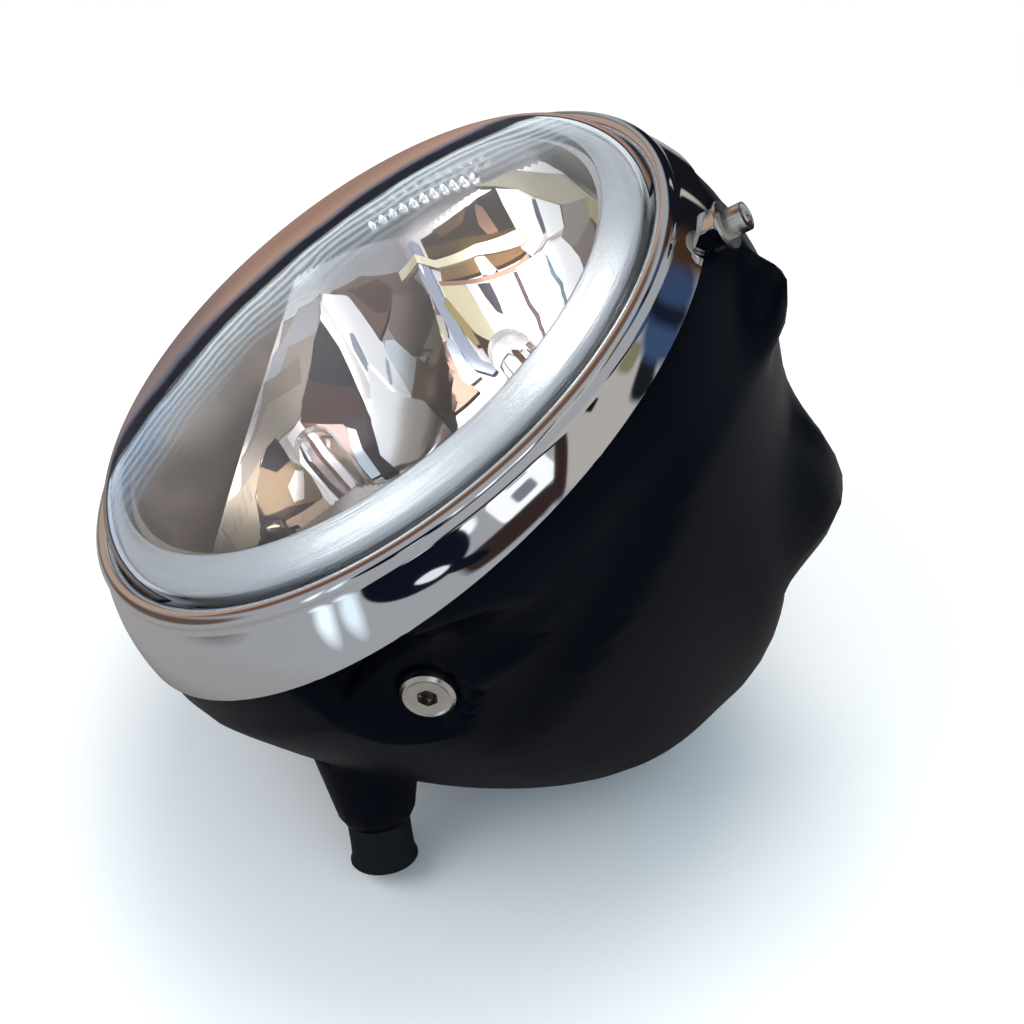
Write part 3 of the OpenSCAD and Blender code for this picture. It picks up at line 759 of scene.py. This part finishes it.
facets = [   # painted reflection colour, roughness, outline as (x, z) in the lamp's frame
    ((0.20, 0.178, 0.16), 0.36, [(-12.1, 73.3), (24.1, 70.3), (42.6, 60.9), (56, 48.8), (59.1, 35.1),
      (53.8, 39.1), (45, 48.3), (35.3, 54.3), (31.5, 59.7), (25.1, 65.9), (13.3, 68.2), (-3.4, 65.5),
      (-10.4, 70), (-26.9, 69.3)]),
    ((0.25, 0.262, 0.29), 0.34, [(36, 65), (49.7, 55.3), (57.9, 43.2), (58.7, 35.5), (53.1, 40.8),
      (51.4, 50.2), (41.1, 61.9)]),
    ((0.27, 0.235, 0.185), 0.34, [(9.7, 73.7), (25.1, 65.9), (13.3, 68), (-3.4, 65.5), (-8.1, 69.4),
      (-0.4, 74.3)]),
    ((0.155, 0.132, 0.12), 0.36, [(23.1, 70.6), (43.9, 60), (49.2, 48.5), (44.1, 50.2), (39.8, 60.4),
      (24.7, 70.1)]),
    ((0.01, 0.01, 0.016), 0.15, [(31.2, 61.2), (28.9, 60), (25.3, 58.7), (21.6, 62.6), (22.8, 66.2),
      (28.1, 64)]),
    ((0.138, 0.102, 0.072), 0.15, [(22.8, 66.2), (21.6, 62.6), (25.3, 58.7), (23.4, 55.5), (16.7, 51.5),
      (13.5, 52.2), (11.1, 60.3), (6.9, 65.4), (11.7, 67.5), (17.3, 67.4)]),
    ((0.376, 0.352, 0.352), 0.15, [(22.5, 57.9), (22.5, 55.8), (14, 56.3), (12.6, 58.9), (17.6, 60.1)]),
    ((0.034, 0.025, 0.025), 0.15, [(11.7, 67.5), (6.9, 65.4), (11.1, 60.3), (13.5, 52.2), (11.6, 53.3),
      (6.9, 59.7), (1.7, 64), (4.7, 66.6)]),
    ((0.392, 0.287, 0.216), 0.15, [(13.5, 52.2), (13.9, 47.2), (-57.8, 5.2), (4.8, 57.6), (2.6, 61),
      (1.7, 64), (6.9, 59.7)]),
    ((0.013, 0.012, 0.014), 0.15, [(1.7, 64), (3.5, 59.9), (3.2, 57.5), (-62, 18.7), (-6.6, 64.9),
      (-3.5, 66)]),
    ((0.701, 0.631, 0.631), 0.2, [(35.5, 53.9), (31.3, 58.2), (16.4, 52), (13.8, 51.1), (-56.3, 0.1),
      (18.3, 46.6), (28.3, 51)]),
    ((0.007, 0.009, 0.014), 0.12, [(54.5, 38.6), (51.8, 37.1), (48.8, 36), (44.5, 35.5), (40, 35.1),
      (42.6, 42.9), (44.2, 48.2), (51.5, 42.5)]),
    ((0.023, 0.014, 0.016), 0.14, [(44.2, 48.2), (42.6, 42.9), (40, 35.1), (33.5, 33.4), (32.6, 35.5),
      (33.3, 45.1), (35, 53.6), (39.8, 51.7)]),
    ((0.098, 0.051, 0.042), 0.14, [(35, 53.6), (34.3, 49.7), (26.8, 46.9), (16.9, 42.8), (-54.9, 0.6),
      (18.9, 46.8), (28.9, 51.2)]),
    ((0.305, 0.238, 0.231), 0.14, [(34.3, 49.7), (33.2, 42.1), (29.7, 39.8), (21, 37.9), (21.7, 40.4),
      (24.5, 42.9), (25.1, 45.8), (26.8, 46.9)]),
    ((0.61, 0.552, 0.515), 0.16, [(25.1, 42.8), (24.2, 41.1), (16.6, 37.2), (-55.7, -5.8), (-52.9, -2.8)]),
    ((0.515, 0.604, 0.672), 0.12, [(32, 41), (31, 38.7), (26.1, 38.1), (21.5, 35.8), (17, 33),
      (16.6, 37.2), (21.5, 39.7), (26.9, 41.2)]),
    ((0.025, 0.021, 0.027), 0.12, [(33.2, 42.1), (33.5, 33.4), (27.1, 31.3), (23, 29.1), (19.2, 27.2),
      (16.2, 28.4), (16.4, 33.1), (21.5, 35.8), (26.1, 38.1), (31, 38.7)]),
    ((0.973, 0.973, 0.991), 0.25, [(58.6, 34.2), (56.4, 27), (52.2, 24.9), (44.5, 21.6), (37.2, 19.2),
      (30, 16.5), (23.8, 11), (8.9, 1.9), (10.2, 9.4), (13.2, 27.5), (18.5, 26.9), (27.1, 31.3),
      (33.5, 33.4), (48.7, 35.7), (54.8, 38.1)]),
    ((0.604, 0.565, 0.565), 0.22, [(57.8, 35.8), (55.2, 34.7), (48.8, 32.8), (42.4, 31), (35.7, 29.9),
      (36.9, 33.7), (44.3, 34.8), (49.9, 35.6), (54.7, 37.8)]),
    ((0.305, 0.352, 0.413), 0.2, [(50.3, 31.1), (49.9, 29.8), (44.7, 28.8), (41.1, 28.6), (42.1, 30),
      (47.3, 31.7)]),
    ((0.392, 0.456, 0.527), 0.2, [(42.2, 22.3), (41.1, 21.7), (36.5, 22.7), (36.5, 23.6), (39.6, 23.5)]),
    ((0.552, 0.617, 0.672), 0.2, [(28.6, 22.6), (27.2, 21.8), (22.5, 20.2), (22.6, 21.5), (25.7, 23.2)]),
    ((0.15, 0.098, 0.084), 0.2, [(58.3, 31.8), (57.5, 20.8), (51.1, 5.2), (43.7, -0.1), (43.1, 2.1),
      (50.1, 11.8), (47.3, 18.5), (45.8, 22.3), (53.4, 24.8), (56.2, 27.1)]),
    ((0.061, 0.034, 0.03), 0.16, [(57, 26.5), (54.8, 15.1), (50.6, 11.2), (48.7, 16.2), (50.5, 20.3),
      (54, 23.3)]),
    ((0.238, 0.175, 0.162), 0.22, [(50.1, 11.8), (43.8, 1.3), (41.2, -1.7), (39.6, 8.1), (37.5, 12.1),
      (41.2, 15.6), (46.2, 17.9)]),
    ((0.73, 0.807, 0.871), 0.22, [(43.6, 17.2), (37.2, 12.3), (33.7, 6.8), (29.6, 16.7), (36.9, 19.4),
      (43.2, 21.6), (44.8, 20.4)]),
    ((0.202, 0.162, 0.181), 0.2, [(42.3, -1.4), (40, -3), (36.6, -3.9), (36.4, -1), (36, 7.5),
      (36.8, 11.6), (38.6, 12.4), (40.2, 7.7)]),
    ((0.617, 0.552, 0.456), 0.2, [(36.6, -3.7), (31, -3.4), (30.1, -1.6), (29.2, 2.8), (30.7, 6.4),
      (33.1, 3.4), (36, 7.5), (36.7, -0.6)]),
    ((0.262, 0.175, 0.144), 0.18, [(36.3, 10.8), (30.7, 6.4), (29.2, 2.8), (30.1, -1.6), (31, -3.4),
      (21.2, -4.6), (18, -7.9), (10.4, -1.9), (21.1, 7.4), (30, 17.5)]),
    ((0.434, 0.342, 0.305), 0.2, [(30.3, 10.1), (28.9, 5), (22.8, 6.8), (26.5, 11)]),
    ((0.392, 0.445, 0.552), 0.16, [(52.1, -0.6), (51.3, -3.9), (41.5, -5.2), (31.5, -7.7), (26.4, -10),
      (24.7, -13.9), (22.6, -12), (23.9, -7.9), (29.4, -5.1), (40, -2.6)]),
    ((0.552, 0.631, 0.716), 0.16, [(31.4, -3.3), (31.1, -4.8), (23.1, -6.8), (22.1, -9), (19.4, -6),
      (20.4, -4.5), (29.4, -2.6)]),
    ((0.018, 0.01, 0.007), 0.14, [(51.9, -5), (56.1, -15.2), (58.5, -23.8), (59.1, -29.4), (57.1, -30.4),
      (50.8, -31.2), (50.8, -18.4), (48.7, -5.2)]),
    ((0.107, 0.058, 0.034), 0.16, [(53.7, -8.7), (56.1, -15.2), (57.5, -19.9), (54.9, -17.1),
      (52.6, -10.6)]),
    ((0.262, 0.15, 0.107), 0.16, [(57.6, -22.2), (56.9, -24.1), (52.4, -25.6), (51.7, -22.9), (54.2, -21)]),
    ((0.076, 0.048, 0.012), 0.2, [(50.6, -5.7), (52.4, -16.6), (52, -31), (50.7, -31), (50.8, -18.4),
      (48.5, -5.2)]),
    ((0.238, 0.144, 0.054), 0.2, [(46.5, -7), (48.9, -17.8), (45.9, -17.3), (44, -6.4)]),
    ((0.181, 0.098, 0.042), 0.2, [(48.8, -18.9), (49.1, -32.2), (47.4, -31.1), (46.2, -21.3)]),
    ((0.807, 0.73, 0.716), 0.2, [(49.1, -16.3), (48.8, -19.1), (45.8, -21.1), (44.8, -20), (45.1, -16.9)]),
    ((0.823, 0.73, 0.491), 0.22, [(43.4, -5.5), (43.5, -11.5), (37.3, -13.5), (31.2, -15.6),
      (30.4, -11.8), (35.5, -8.9), (40.7, -6)]),
    ((0.434, 0.332, 0.138), 0.22, [(40.7, -6), (35.5, -8.9), (30.4, -11.8), (29.9, -9.7), (33.6, -7.4),
      (38.9, -4.9)]),
    ((0.065, 0.027, 0.014), 0.2, [(33.2, -9.7), (31.3, -12.6), (29.7, -16.2), (26.3, -19), (23.7, -19.5),
      (23.6, -15.2), (27.9, -11.6)]),
    ((0.839, 0.745, 0.745), 0.25, [(43.7, -11.6), (44.3, -20.3), (45, -26.5), (37.7, -27), (33.8, -28.4),
      (29, -28.2), (25.3, -22.1), (26.8, -19.1), (31.2, -15.6), (37.3, -13.5)]),
    ((0.054, 0.048, 0.072), 0.16, [(43.4, -14.8), (43.4, -18.2), (39.9, -18.8), (36.4, -19),
      (37.3, -17.4), (40.4, -15.8)]),
    ((0.392, 0.231, 0.162), 0.2, [(43.8, -5.6), (44.4, -15), (45.7, -26.9), (47, -31.5), (45.5, -31.2),
      (44.7, -26.9), (43.6, -15.6), (43, -5.8)]),
    ((0.973, 0.956, 0.956), 0.25, [(58.8, -29.8), (57.2, -35.8), (54.7, -39.4), (48.3, -38.6),
      (46, -32.2), (48, -30.2), (50.9, -30.9), (56.2, -29.9)]),
    ((0.973, 0.973, 0.982), 0.25, [(54.6, -39.7), (50.7, -46.1), (47.1, -44.7), (47.4, -38.7)]),
    ((0.107, 0.122, 0.156), 0.16, [(54.6, -38.6), (54.2, -39.7), (48.9, -39.1), (48.2, -37.8),
      (51.9, -37.8)]),
    ((0.973, 0.956, 0.973), 0.25, [(46, -33.5), (45.9, -42.9), (41, -46.6), (35.5, -46.4), (31.6, -32.6),
      (29, -28.2), (33.8, -28.4), (37.7, -27), (45, -26.5), (45.6, -30.6)]),
    ((0.089, 0.065, 0.068), 0.16, [(44.4, -25.3), (44.3, -26.5), (37.6, -27.3), (34.6, -28.7),
      (29.5, -28.3), (29.3, -27.3), (34, -27.3), (37.5, -26)]),
    ((0.181, 0.27, 0.342), 0.16, [(45.2, -36.1), (44.6, -36.7), (40.8, -37.2), (38.6, -38.4),
      (33.3, -37.1), (33.6, -36.2), (38.2, -37.1), (41.2, -35.7)]),
    ((0.188, 0.15, 0.138), 0.2, [(43.1, -44.8), (45.4, -52.9), (41.7, -56.6), (38.3, -51.7),
      (35.1, -45.3), (40.4, -46.2)]),
    ((0.076, 0.042, 0.03), 0.18, [(44.7, -54.2), (3.4, -74.2), (-6.7, -74), (35.5, -48.1), (39.7, -53.8)]),
    ((0.27, 0.238, 0.209), 0.25, [(50.4, -46.7), (47.9, -55.4), (44.3, -54.9), (42.8, -45.4),
      (45.9, -42.9), (47.5, -45.4)]),
    ((0.456, 0.413, 0.305), 0.25, [(60, -24.5), (59.8, -37.4), (53.6, -51.4), (38.5, -63.5),
      (47.3, -55.8), (50.4, -46.7), (54.7, -39.4), (57.2, -35.8), (59, -29.9)]),
    ((0.371, 0.305, 0.162), 0.25, [(38.3, -63.7), (27.8, -68.9), (14.2, -72.9), (3.4, -74.2),
      (44.7, -54.2), (47.9, -55.4)]),
    ((0.658, 0.591, 0.515), 0.25, [(29.8, -68), (21.3, -71.2), (13.9, -73), (10.1, -73.6), (21, -71.3)]),
    ((0.93, 0.855, 0.617), 0.2, [(50.8, 6.3), (47.8, -6.7), (50.6, -18.2), (51.2, -30.4), (49.8, -33.1),
      (48.4, -32.1), (48.6, -17.6), (46.3, -6.5), (49.1, 6.4)]),
    ((0.956, 0.956, 0.973), 0.2, [(42.5, 28.6), (33.8, 22.9), (25.8, 12.3), (14.5, 5.4), (13.9, 9.1),
      (13.4, 17.3), (16, 28), (21.3, 32), (30.3, 32.8)]),
]


# a thin raised plate that follows the bowls under its outline, coloured with a painted reflection
def buildFacet(order, tone, rough, outline):
    clearSelection()
    bpy.ops.mesh.primitive_circle_add(vertices=len(outline), fill_type="NGON")
    obj = added("facet")
    for v, (x, z) in zip(obj.data.vertices, outline):
        v.co = (x * mm, 0, z * mm)
    makeActive(obj)
    editMode()
    bpy.ops.mesh.select_all(action="SELECT")
    bpy.ops.mesh.quads_convert_to_tris(ngon_method="BEAUTY")
    bpy.ops.mesh.subdivide(number_cuts=5)
    objectMode()
    lift = reflector["lift"] + reflector["liftStep"] * order
    for v in obj.data.vertices:
        v.co.y = beadY + (dishDepth(v.co.x / mm, v.co.z / mm) - lift) * mm
    editMode()
    bpy.ops.mesh.select_all(action="SELECT")
    bpy.ops.mesh.region_to_loop()
    bpy.ops.mesh.extrude_region_move(TRANSFORM_OT_translate={"value": (0, reflector["facetThick"] * mm, 0)})
    objectMode()
    return withTone(obj, tone, rough)


def wallPaintedReflection(x, z):     # painted reflection, darker toward the top
    return blend((0.56, 0.55, 0.55), (0.30, 0.27, 0.24), (z + 10) / 40)


def buildReflector():
    pieces = [buildDishes()]
    for order, (tone, rough, outline) in enumerate(facets):
        pieces.append(buildFacet(order, tone, rough, outline))
    edge, thick, flange = (reflector[key] for key in ("mouthRadius", "wallThick", "flangeDepth"))
    front, rear, wide = (reflector[key] for key in ("wallFront", "wallRear", "flangeRadius"))
    wall = turned("mouthWall", [(edge, rear), (edge, front), (edge + thick, front), (edge + thick, flange),
                                (wide, flange), (wide, flange + thick), (edge + thick, flange + thick),
                                (edge + thick, rear)], 192)
    pieces.append(withTone(wall, wallPaintedReflection, 0.2))
    obj = joined("reflectorBowls", pieces)
    smoothShade(obj, 20)
    return finishPiece(obj, mirrorCoat, "mirror", "reflector")


buildReflector()


# a row of small glassy beads moulded on the wall beside the ridge
beadRow = dict(count=11, first=14.0, step=-3.6, radius=71.6, depth=5.0, half=(2.6, 5.0, 1.9))


def buildBeads():
    pieces = []
    for side in (-1, 1):
        for i in range(beadRow["count"]):
            z = beadRow["first"] + i * beadRow["step"]
            x = side * math.sqrt(beadRow["radius"] ** 2 - z * z)
            clearSelection()
            bpy.ops.mesh.primitive_uv_sphere_add(segments=20, ring_count=10, radius=1,
                                                 location=(x * mm, beadY + beadRow["depth"] * mm, z * mm))
            bead = added("bead")
            bead.scale = [h * mm for h in beadRow["half"]]
            bead.rotation_euler = (0, math.atan2(-z, x), 0)
            applyPlace(bead)
            pieces.append(withTone(bead, (0.95, 0.96, 0.98), 0.06))
    return pieces


beads = joined("reflectorBeads", buildBeads())
smoothShade(beads, 60)
finishPiece(beads, mirrorCoat, "mirror")
print("reflector built")

# housing, and the parts carried over from the CAD model

housing = smoothCopy("housing", "housingShell", 34)
finishPiece(housing, housingPlastic, "housing_plastic", "housing")

carried = {
    "lens_seal": sealRubber, "mouth_seal": sealRubber,
    "upper_bulb_glass": bulbGlass, "lower_bulb_glass": bulbGlass, "position_bulb": bulbGlass,
    "upper_bulb_base": bulbMetal, "lower_bulb_base": bulbMetal,
    "bulb_clips": springSteel, "ring_clips": springSteel, "reflector_frame": springSteel,
    "pivot_studs": springSteel,
    "bulb_plugs": plugPlastic, "position_holder": plugPlastic, "adjuster_nut": nutPlastic,
    "side_inserts": brassMetal, "ring_screw": screwSteel,
    "ring_washer": screwSteel, "ring_nut": darkSteel, "adjuster_screw": screwSteel,
}
slots = {s["node"]: s["material_slot"] for s in frame["record"]["subparts"]}
for name, material in carried.items():
    piece = smoothCopy(name, name.replace("_", "-"), 32)
    finishPiece(piece, material, slots[name], name)
print("carried-over parts dressed")

# side screws and spout sleeve

sideScrew = dict(x=86.0, headRadius=7.4, shank=4.0, shankLength=14.0, socket=2.9, socketDepth=2.2)


def buildSideScrews():
    r = sideScrew["headRadius"]
    pieces = []
    for side in (-1, 1):
        profile = [(0, -sideScrew["shankLength"]), (sideScrew["shank"], -sideScrew["shankLength"]),
                   (sideScrew["shank"], 0), (r, 0.02), (r, 2.5), (r - 0.12, 2.8), (r - 1.0, 3.55),
                   (r - 1.25, 3.6),
                   (r - 1.5, 3.5), (r - 1.8, 3.35), (0, 3.35)]
        screw = placeAlong(spun("sideScrew", profile, 96, smooth=22),
                           (side * sideScrew["x"], 0, 0), (side, 0, 0))
        middle = sideScrew["x"] + 3.35 - sideScrew["socketDepth"] / 2 + 1
        cutBy(screw, cylinder("socket", (side * middle, 0, 0), (side, 0, 0), sideScrew["socket"],
                              sideScrew["socketDepth"] + 2, sides=6))
        pieces.append(screw)
    obj = joined("sideScrews", pieces)
    smoothShade(obj, 22)
    return finishPiece(obj, sideSteel, slots["side_screws"], "side_screws")


buildSideScrews()

sleeve = dict(root=(-50.0, 44.8, 57.2), toward=(-0.236, 0.878, 0.416), start=15.3,
              profile=[(7.02, 0), (8.6, 0), (8.88, 0.5), (8.82, 4), (8.84, 9), (8.95, 11.4), (9.3, 12.3),
                       (9.55, 13.0),
                       (9.55, 13.6), (9.2, 14.1), (8.6, 14.28), (7.7, 14.28), (7.2, 14.0), (7.02, 13.4)])


def buildSleeve():
    toward = Vector(sleeve["toward"]).normalized()
    start = Vector(sleeve["root"]) + toward * sleeve["start"]
    obj = placeAlong(spun("spoutSleeve", sleeve["profile"], 96, closed=True, smooth=35), start, toward)
    return finishPiece(obj, sleeveRubber, slots["spout_sleeve"], "spout_sleeve")


buildSleeve()
print("side screws and sleeve built")

# floor, room and light

floor = dict(
    down=(0.1268, 0.8147, 0.5659),     # straight down as the lamp lies in the picture
    radius=0.9,
    fadeFrom=0.19, fadeTo=0.34,        # metres from its middle, where it turns into the white backdrop
    color=(0.95, 0.95, 0.95),
    mirroredColor=(0.38, 0.39, 0.41),  # painted reflection: the floor as the chrome shows it
)
downhill = Vector(floor["down"]).normalized()


def lowestAlong(direction):
    best = -1.0
    for name in ("housing", "spout_sleeve", "trim_ring", "side_screws"):
        for v in nodes[name].data.vertices:
            best = max(best, v.co.dot(direction))
    return best


floorHeight = lowestAlong(downhill)
floorMiddle = downhill * floorHeight


def floorMaterial():
    material, tree, shader = newMaterial("paleFloor", floor["color"], 0.0, 0.75)
    path = tree.nodes.new("ShaderNodeLightPath")
    # painted reflection: glossy rays see the floor in its darker mirrored colour
    link(tree, mixColors(tree, path.outputs["Is Glossy Ray"], floor["color"], floor["mirroredColor"]),
         shader.inputs["Base Color"])
    shader.inputs["Specular IOR Level"].default_value = 0.1
    place = tree.nodes.new("ShaderNodeTexCoord")
    away = tree.nodes.new("ShaderNodeVectorMath")
    away.operation = "DISTANCE"
    link(tree, place.outputs["Object"], away.inputs[0])
    away.inputs[1].default_value = floorMiddle
    fade = limited(tree, away.outputs["Value"], floor["fadeFrom"], floor["fadeTo"], "SMOOTHSTEP")
    geometry = tree.nodes.new("ShaderNodeNewGeometry")
    clear = tree.nodes.new("ShaderNodeBsdfTransparent").outputs[0]
    upper = mixShaders(tree, fade.outputs["Result"], shader.outputs[0], clear)
    both = mixShaders(tree, geometry.outputs["Backfacing"], upper, clear)
    link(tree, both, tree.nodes["Material Output"].inputs["Surface"])
    return material


clearSelection()
bpy.ops.mesh.primitive_circle_add(vertices=96, radius=floor["radius"], fill_type="NGON")
floorPiece = added("floor")
floorPiece.matrix_world = (Matrix.Translation(floorMiddle)
                           @ (-downhill).to_track_quat("Z", "Y").to_matrix().to_4x4())
applyPlace(floorPiece)
addMaterial(floorPiece, floorMaterial())


lampHeart = Vector((0, 20 * mm, 0))     # the point that the lights aim at
lights = dict(     # metres to the right, above and toward the camera, then size, watts and colour
    windowLight=dict(offset=(0.05, 1.2, -0.45), size=0.8, power=10, color=(1.0, 0.92, 0.82)),
    roomLight=dict(offset=(-0.9, 0.9, 0.3), size=0.8, power=6, color=(1.0, 0.95, 0.90)),
)


def addLight(name, offset, size, power, color):
    data = bpy.data.lights.new(name, "AREA")
    data.size = size
    data.energy = power
    data.color = color
    light = bpy.data.objects.new(name, data)
    bpy.context.scene.collection.objects.link(light)
    light.visible_glossy = False
    across, above, nearer = offset
    level = (ahead - downhill * ahead.dot(downhill)).normalized()
    place = lampHeart + right * across - downhill * above - level * nearer
    light.matrix_world = (Matrix.Translation(place)
                          @ (place - lampHeart).to_track_quat("Z", "Y").to_matrix().to_4x4())
    return light


for name, settings in lights.items():
    addLight(name, **settings)

world = bpy.data.worlds.new("room")
bpy.context.scene.world = world
world.use_nodes = True
tree = world.node_tree
tree.nodes.clear()
place = tree.nodes.new("ShaderNodeTexCoord")
path = tree.nodes.new("ShaderNodeLightPath")
out = tree.nodes.new("ShaderNodeOutputWorld")

roomPatches = [   # toward, sideways, half width, half height, softness, squareness, colour
    ((0.78, -0.22, 0.58), (0.6, 0.0, -0.8), 0.34, 0.42, 0.5, 3, (0.06, 0.065, 0.075)),
    ((0.3, -0.9, 0.1), (0, 0.1, 0.99), 0.9, 0.6, 0.4, 3, (0.17, 0.095, 0.065)),
    ((0.66, -0.62, 0.44), (0, 0.57, 0.82), 0.5, 0.3, 0.6, 2.5, (0.50, 0.36, 0.28)),
    ((0.1, -0.3, 0.95), (1, 0, 0), 0.6, 0.3, 0.5, 2.5, (0.14, 0.09, 0.07)),
    ((-0.28, -0.24, -0.93), (0.951, -0.195, -0.24), 0.50, 0.24, 0.08, 6, (0.50, 0.47, 0.44)),
    ((-0.73, -0.35, -0.59), (0.62, -0.05, -0.78), 0.20, 0.15, 0.04, 8, (1.2, 1.22, 1.26)),
    ((-0.73, -0.33, -0.59), (0.62, -0.05, -0.78), 0.07, 0.06, 0.2, 6, (0.22, 0.24, 0.27)),
    ((-0.86, -0.42, -0.22), (0.3, 0.0, -0.95), 0.12, 0.10, 0.3, 2.5, (1.2, 1.22, 1.28)),
    ((-0.60, -0.25, -0.76), (0.5, -0.75, -0.1), 0.28, 0.045, 0.2, 4, (0.035, 0.018, 0.014)),
    ((-0.86, -0.10, -0.48), (0.5, -0.1, -0.86), 0.34, 0.10, 0.2, 4, (0.035, 0.022, 0.02)),
    ((-0.93, -0.34, 0.02), (0.05, 0.1, -0.99), 0.32, 0.24, 0.05, 2.2, (0.004, 0.006, 0.014)),
    ((-0.90, -0.12, -0.20), (0.1, 0.3, -0.95), 0.14, 0.05, 0.1, 2, (0.004, 0.006, 0.014)),
    ((-0.81, -0.22, 0.54), (0.54, 0.0, 0.81), 0.05, 0.24, 1.0, 2, (1.15, 1.3, 1.4)),
    ((-0.88, -0.22, 0.41), (0.41, 0.0, 0.88), 0.05, 0.24, 1.0, 2, (1.0, 1.15, 1.25)),
    ((-0.98, -0.2, -0.04), (0.04, 0.1, -1.0), 0.10, 0.045, 0.1, 1.6, (0.9, 0.95, 1.0)),
    ((-0.28, -0.39, -0.88), (0.95, -0.2, -0.24), 0.045, 0.04, 0.06, 8, (0.004, 0.004, 0.005)),
    ((-0.02, -0.10, -0.99), (0.95, -0.3, 0.0), 0.16, 0.08, 0.3, 3, (0.01, 0.012, 0.016)),
    ((0.03, -0.30, -0.95), (0.99, -0.1, 0.05), 0.10, 0.07, 0.4, 3, (0.24, 0.22, 0.13)),
    ((0.25, -0.12, -0.96), (0.95, -0.1, 0.25), 0.20, 0.17, 0.4, 2.5, (0.045, 0.08, 0.17)),
    ((0.38, -0.12, -0.91), (0.9, -0.1, 0.4), 0.12, 0.2, 0.6, 2.5, (0.010, 0.013, 0.025)),
    ((0.54, -0.12, -0.83), (0.83, -0.05, 0.54), 0.17, 0.20, 0.4, 2.5, (0.04, 0.07, 0.15)),
    ((0.76, -0.05, -0.64), (0.64, 0.0, 0.76), 0.22, 0.32, 0.6, 3, (0.06, 0.03, 0.016)),
    ((0.96, 0.12, -0.26), (0.26, 0.0, 0.96), 0.42, 0.55, 0.3, 3, (0.008, 0.009, 0.013)),
    ((0.93, 0.05, -0.36), (0.36, 0.0, 0.93), 0.03, 0.16, 0.6, 2, (0.55, 0.50, 0.44)),
]


roomColor = (0.40, 0.41, 0.43)
for toward, sideways, halfWidth, halfHeight, soft, square, color in roomPatches:
    patch = placeGroup(tree, patchGroup, Half_Width=halfWidth, Half_Height=halfHeight, Soft=soft,
                       Squareness=square)
    toward = Vector(toward).normalized()
    sideways = Vector(sideways)
    sideways = (sideways - toward * toward.dot(sideways)).normalized()
    link(tree, place.outputs["Generated"], patch.inputs["Direction"])
    patch.inputs["Toward"].default_value = toward
    patch.inputs["Sideways"].default_value = sideways
    roomColor = mixColors(tree, patch.outputs["Mask"], roomColor, color)


def background(color, strength):
    node = tree.nodes.new("ShaderNodeBackground")
    if isinstance(color, tuple):
        node.inputs["Color"].default_value = (*color, 1)
    else:
        link(tree, color, node.inputs["Color"])
    node.inputs["Strength"].default_value = strength
    return node.outputs[0]


def pathTest(operation, label):
    return math2(tree, operation, path.outputs[label], 0.5)


daylight = background((0.76, 0.89, 1.0), 0.9)
underGlass = background((0.97, 0.98, 1.0), 1.0)
white = background((1.0, 1.0, 1.0), 1.0)
mirrored = mixShaders(tree, pathTest("GREATER_THAN", "Transmission Depth"),
                      background(roomColor, 1.0), underGlass)
lit = mixShaders(tree, pathTest("GREATER_THAN", "Glossy Depth"), daylight, mirrored)
straight = math2(tree, "MULTIPLY",      # rays that see the backdrop without a mirror between
                 math2(tree, "MAXIMUM", path.outputs["Is Camera Ray"], path.outputs["Is Transmission Ray"]),
                 pathTest("LESS_THAN", "Glossy Depth"))
link(tree, mixShaders(tree, straight, lit, white), out.inputs["Surface"])

bpy.context.scene.view_settings.view_transform = "Standard"
print("room and light set")
